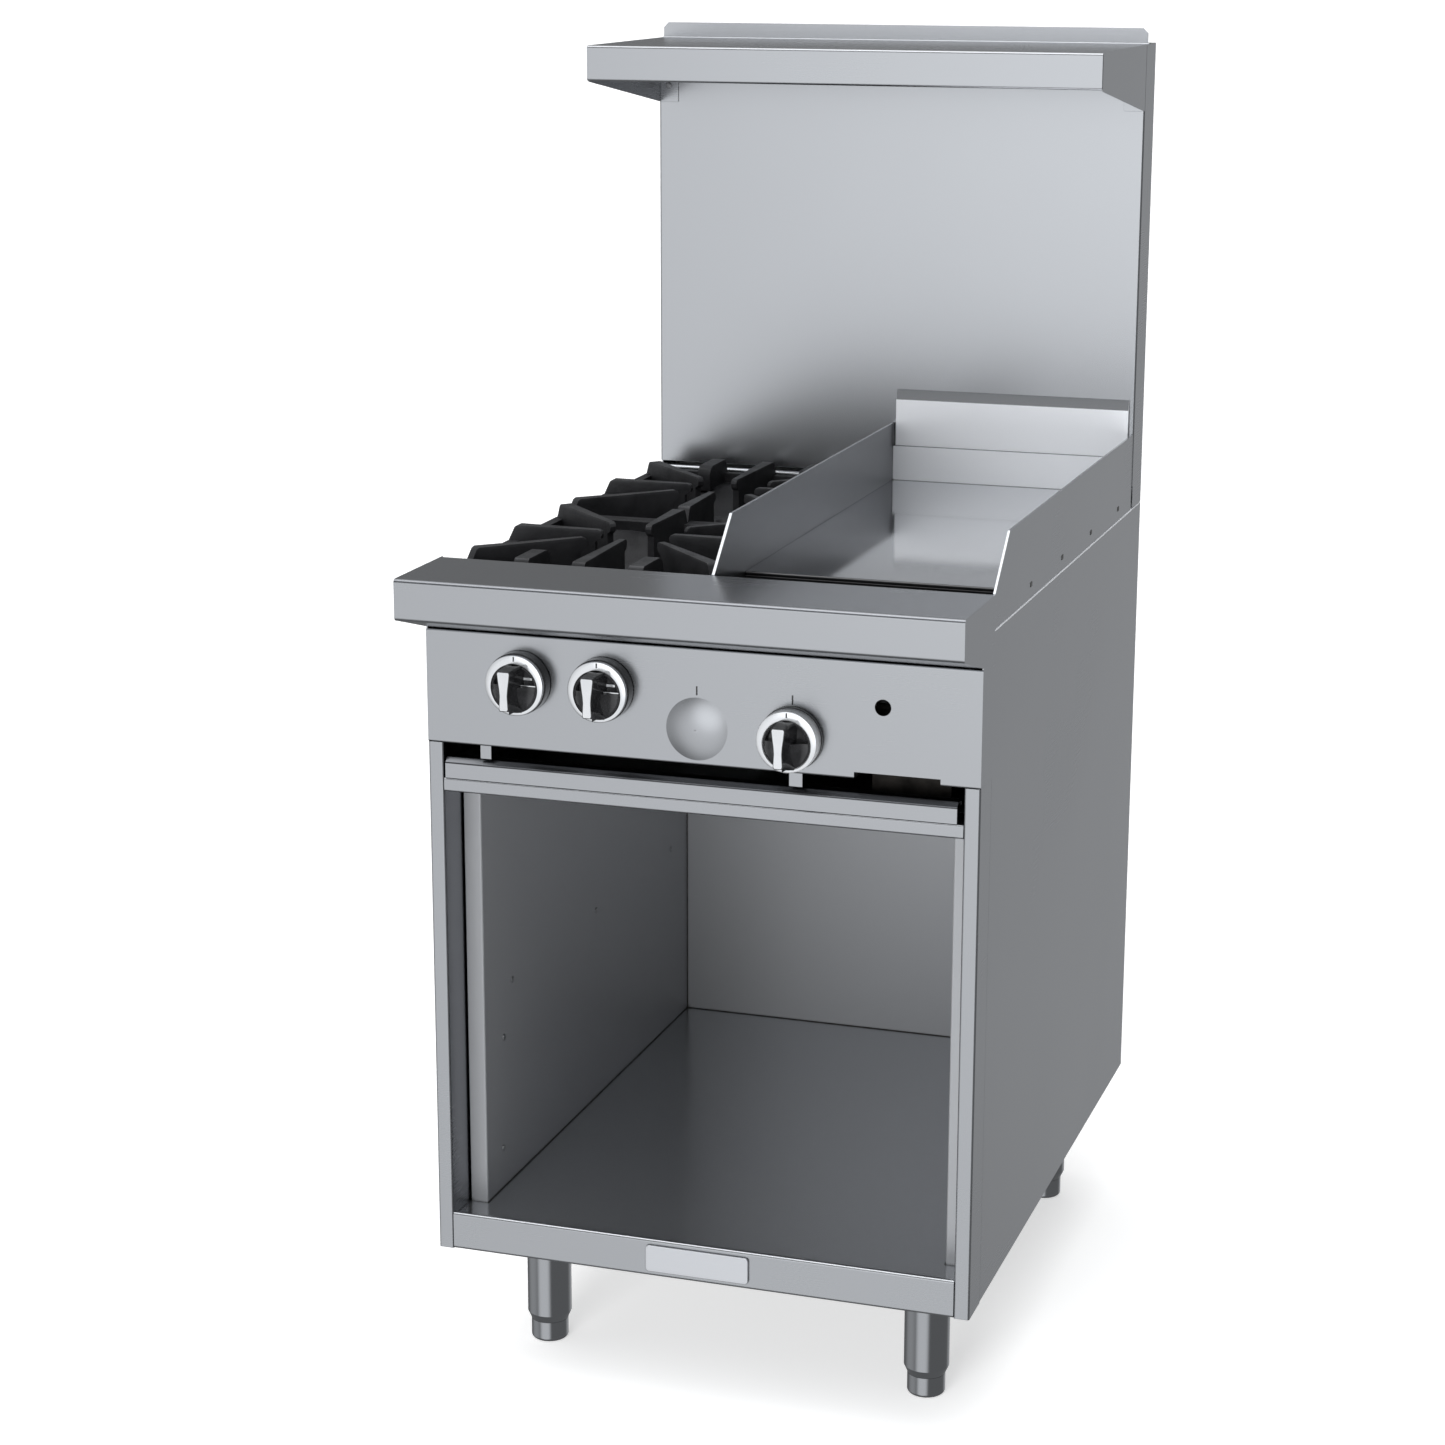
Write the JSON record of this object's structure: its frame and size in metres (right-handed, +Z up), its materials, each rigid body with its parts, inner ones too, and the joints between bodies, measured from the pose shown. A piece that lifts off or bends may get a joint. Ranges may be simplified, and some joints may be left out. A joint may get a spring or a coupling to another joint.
{
  "type": "gas range",
  "caption": "Narrow commercial gas range on legs: open burners with lift-off grates, a griddle with splash guards, an open storage base, a plate rail and a high shelf.",
  "frame": {"origin": "on the floor at the middle of the range's footprint", "axes": "+Z up; the front with the knobs faces -Y; +X is to the right as seen from the front, on the griddle's side"},
  "size_m": [0.6, 0.876, 1.448],
  "materials": {
    "stainless": "fine vertical and horizontal brushed grain, satin",
    "liner_steel": "plain mill finish, dull",
    "galvanised": "galvanised sheet with a faint spangle",
    "leg_steel": "satin plated tube",
    "badge": "satin, plain",
    "zinc_screw": "zinc plated",
    "cast_iron": "matt black sand-cast surface",
    "griddle_steel": "polished, lightly scored by scrapers",
    "black_pipe": "black iron pipe",
    "brass": "machined",
    "aluminium_tube": "drawn tube",
    "dark_pan": "blackened steel, baked-on grease film",
    "chrome": "bright plated",
    "knob_black": "moulded, glossy"
  },
  "bodies": {
    "range_body": {"legs": "leg_steel", "leg_bolts": "zinc_screw", "base_pan": "galvanised", "kick_panel": "stainless", "badge_plate": "badge", "front_posts": "stainless", "side_panel_right": "stainless", "side_panel_left": "stainless", "cross_rail": "stainless", "cabinet_floor": "liner_steel", "liner_right": "liner_steel", "liner_left": "liner_steel", "liner_back": "liner_steel", "cabinet_ceiling": "galvanised", "tray_runners": "galvanised", "panel_screws": "zinc_screw", "control_panel": "stainless", "blank_plug": "stainless", "plate_rail": "stainless", "backguard": "stainless", "rear_panel": "galvanised", "high_shelf": "stainless", "shelf_brackets": "stainless", "burner_box_front": "galvanised", "burner_box_rear": "galvanised", "heat_shields": "galvanised", "center_divider": "stainless", "rear_trim": "stainless", "burner_crossbars": "galvanised", "open_burners": "cast_iron", "burner_caps": "cast_iron", "air_shutters": "galvanised", "griddle_burner": "black_pipe", "gas_manifold": "black_pipe", "supply_pipe": "black_pipe", "gas_valves": "brass", "orifice_hoods": "brass", "pilot_burners": "aluminium_tube", "griddle_plate": "griddle_steel", "griddle_splashes": "stainless", "griddle_backsplash": "stainless", "grease_trough": "griddle_steel"},
    "front_grate": {"front_grate": "cast_iron"},
    "rear_grate": {"rear_grate": "cast_iron"},
    "crumb_tray": {"crumb_tray": "stainless", "grease_pan": "dark_pan"},
    "knob_left": {"knob_left": "knob_black", "bezel_left": "chrome", "stem_left": "brass"},
    "knob_middle": {"knob_middle": "knob_black", "bezel_middle": "chrome", "stem_middle": "brass"},
    "knob_right": {"knob_right": "knob_black", "bezel_right": "chrome", "stem_right": "brass"},
    "foot_front_left": {"foot_front_left": "leg_steel"},
    "foot_front_right": {"foot_front_right": "leg_steel"},
    "foot_rear_left": {"foot_rear_left": "leg_steel"},
    "foot_rear_right": {"foot_rear_right": "leg_steel"}
  },
  "joints": [
    {"name": "front_grate_lift", "type": "slide", "parent": "range_body", "child": "front_grate", "axis": [0, 0, 1], "range_m": [0, 0.13]},
    {"name": "rear_grate_lift", "type": "slide", "parent": "range_body", "child": "rear_grate", "axis": [0, 0, 1], "range_m": [0, 0.13]},
    {"name": "crumb_tray_slide", "type": "slide", "parent": "range_body", "child": "crumb_tray", "axis": [0, -1, 0], "range_m": [0, 0.72]},
    {"name": "knob_left_turn", "type": "hinge", "parent": "range_body", "child": "knob_left", "pos_m": [-0.193, -0.359, 0.802], "axis": [0, -1, 0], "range_deg": [0, 90]},
    {"name": "knob_middle_turn", "type": "hinge", "parent": "range_body", "child": "knob_middle", "pos_m": [-0.1015, -0.359, 0.802], "axis": [0, -1, 0], "range_deg": [0, 90]},
    {"name": "knob_right_turn", "type": "hinge", "parent": "range_body", "child": "knob_right", "pos_m": [0.1025, -0.359, 0.766], "axis": [0, -1, 0], "range_deg": [0, 90]},
    {"name": "foot_front_left_level", "type": "slide", "parent": "range_body", "child": "foot_front_left", "axis": [0, 0, -1], "range_m": [0, 0.025]},
    {"name": "foot_front_right_level", "type": "slide", "parent": "range_body", "child": "foot_front_right", "axis": [0, 0, -1], "range_m": [0, 0.025]},
    {"name": "foot_rear_left_level", "type": "slide", "parent": "range_body", "child": "foot_rear_left", "axis": [0, 0, -1], "range_m": [0, 0.025]},
    {"name": "foot_rear_right_level", "type": "slide", "parent": "range_body", "child": "foot_rear_right", "axis": [0, 0, -1], "range_m": [0, 0.025]}
  ]
}
